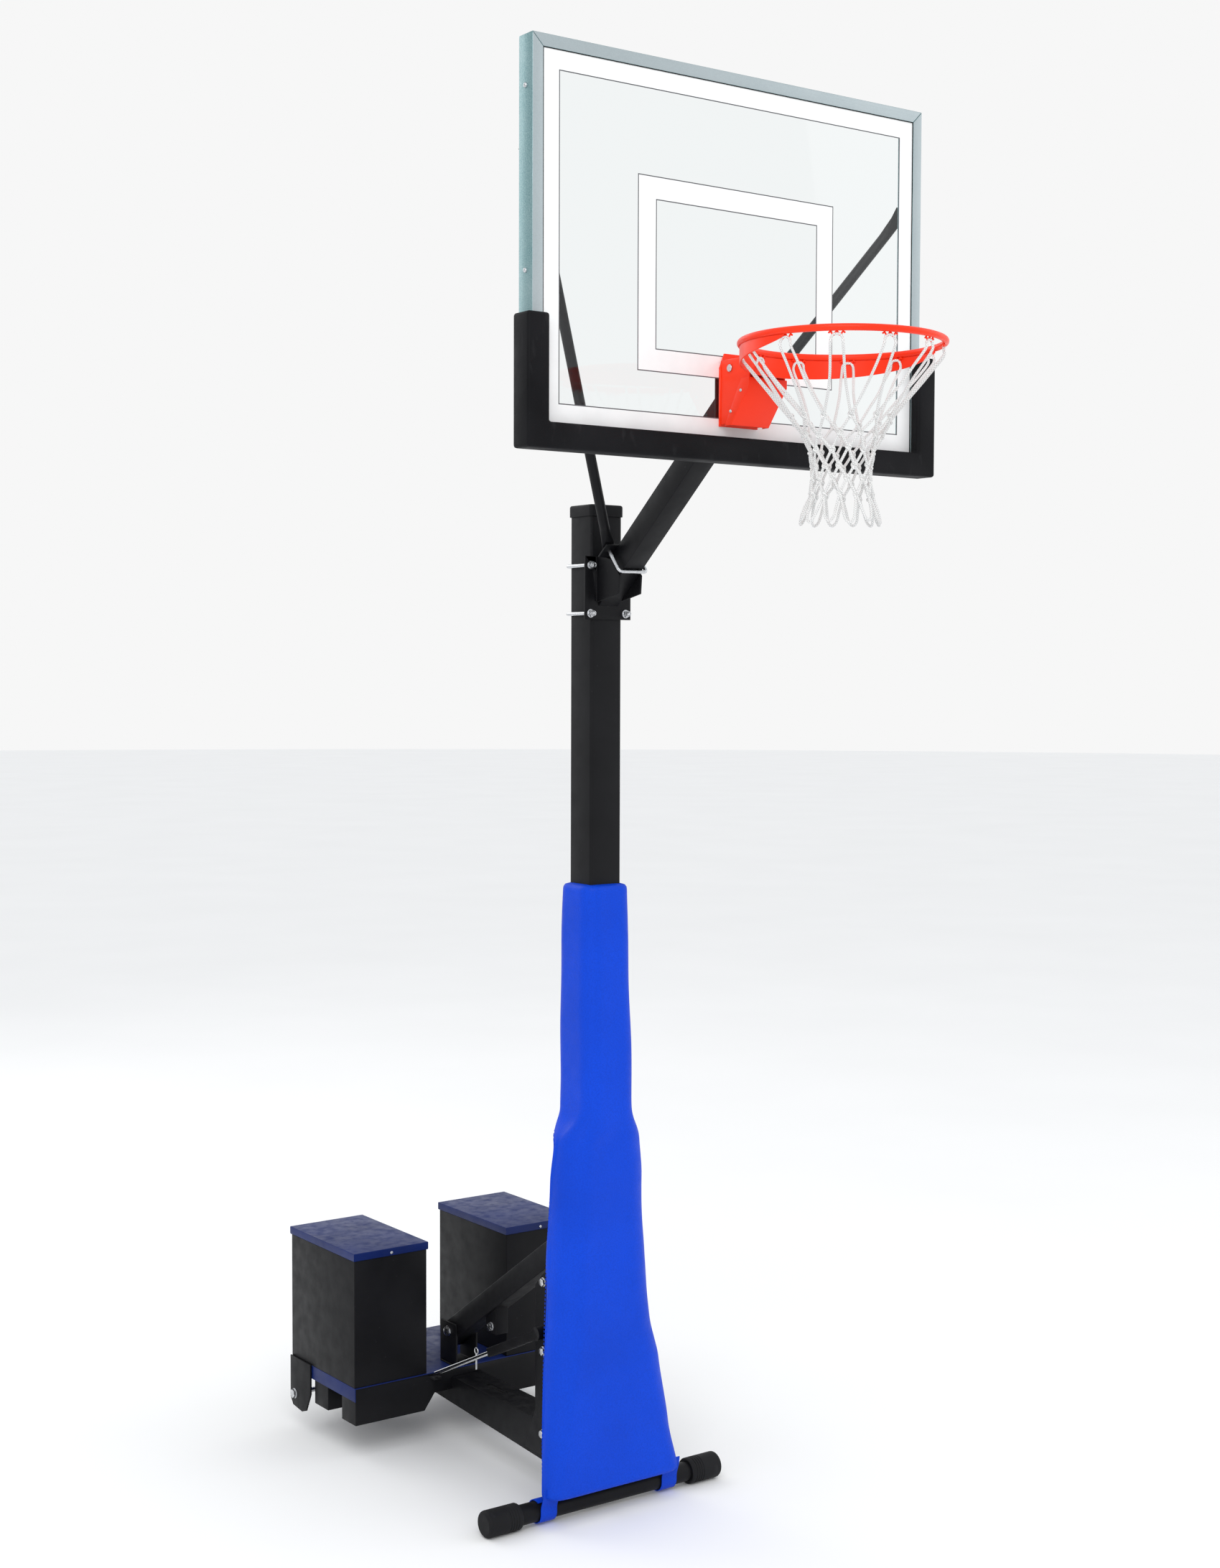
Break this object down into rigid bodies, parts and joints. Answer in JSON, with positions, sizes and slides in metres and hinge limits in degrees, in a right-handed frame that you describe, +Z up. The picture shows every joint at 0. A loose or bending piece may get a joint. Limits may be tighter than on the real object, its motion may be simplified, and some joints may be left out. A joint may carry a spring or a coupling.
{
  "type": "portable basketball hoop",
  "caption": "Portable basketball hoop: padded square mast on a wheeled base with ballast boxes, boom-mounted framed clear backboard, breakaway rim and net",
  "frame": {"origin": "on the floor, under the middle of the whole hoop's outline", "axes": "+Z up, -Y towards the front where the rim is, +Y towards the ballast boxes, +X to the right seen from the front of the base looking along +Y"},
  "size_m": [1.2812, 2.3376, 3.737],
  "materials": {
    "clear_acrylic": "polished clear sheet",
    "aluminium": "satin",
    "black_foam": "matte moulded skin",
    "black_steel": "satin powder coat",
    "zinc": "zinc plated",
    "rim_red": "gloss powder coat",
    "net_white": "braided cord",
    "blue_vinyl": "coated fabric over foam",
    "black_rubber": "matte",
    "tyre": "matte"
  },
  "bodies": {
    "base": {"post": "black_steel", "post_cap": "black_rubber", "post_pad": "blue_vinyl", "pad_strap_left": "blue_vinyl", "pad_strap_right": "blue_vinyl", "foot_tube": "black_steel", "foot_cap_left": "black_rubber", "foot_cap_right": "black_rubber", "rail": "black_steel", "mast_plate_left": "black_steel", "mast_plate_right": "black_steel", "mast_bolt_upper": "zinc", "mast_bolt_middle": "zinc", "mast_bolt_lower": "zinc", "diagonal_brace": "black_steel", "brace_lug": "black_steel", "brace_pin": "zinc", "brace_bolt": "zinc", "crossbeam_front": "black_steel", "crossbeam_rear": "black_steel", "deck": "black_steel", "axle_plate_left": "black_steel", "axle_plate_right": "black_steel", "axle": "zinc", "ballast_box_left": "black_steel", "ballast_box_right": "black_steel", "box_lid_left": "black_steel", "box_lid_right": "black_steel"},
    "arm": {"acrylic_sheet": "clear_acrylic", "frame_top": "aluminium", "frame_bottom": "aluminium", "frame_left": "aluminium", "frame_right": "aluminium", "board_pad": "black_foam", "boom_end_plate": "black_steel", "boom": "black_steel", "boom_bracket": "black_steel", "clamp_u_bolt_upper": "zinc", "clamp_u_bolt_lower": "zinc", "boom_u_bolt": "zinc", "saddle_plate": "black_steel", "board_brace_left": "black_steel", "board_brace_right": "black_steel", "rim_bracket": "rim_red", "rim_cover": "rim_red", "rim_hinge_pin": "zinc", "rim_spring": "zinc", "rim_bolt_1": "zinc", "rim_bolt_2": "zinc", "rim_bolt_3": "zinc", "rim_bolt_4": "zinc"},
    "rim": {"rim_ring": "rim_red", "ring_brace": "rim_red", "ring_plate": "rim_red", "net": "net_white"},
    "lever": {"lever_arm": "black_steel", "lever_bar": "zinc", "lever_pin": "zinc"},
    "wheel_l": {"wheel_left": "tyre"},
    "wheel_r": {"wheel_right": "tyre"}
  },
  "joints": [
    {"name": "height_slide", "type": "slide", "parent": "base", "child": "arm", "axis": [0, 0, 1], "range_m": [-0.68, 0]},
    {"name": "rim_hinge", "type": "hinge", "parent": "arm", "child": "rim", "pos_m": [0, -0.58165, 3.016], "axis": [1, 0, 0], "range_deg": [0, 25], "stiffness_Nm_per_rad": 500, "springref_deg": -20.05, "deforming": ["rim_spring"]},
    {"name": "lever_hinge", "type": "hinge", "parent": "base", "child": "lever", "pos_m": [0, 0.14335, 0.467], "axis": [1, 0, 0], "range_deg": [0, 75]},
    {"name": "wheel_left_spin", "type": "hinge", "parent": "base", "child": "wheel_l", "pos_m": [-0.17, 1.07135, 0.0975], "axis": [1, 0, 0], "continuous": true},
    {"name": "wheel_right_spin", "type": "hinge", "parent": "base", "child": "wheel_r", "pos_m": [0.17, 1.07135, 0.0975], "axis": [1, 0, 0], "continuous": true}
  ]
}
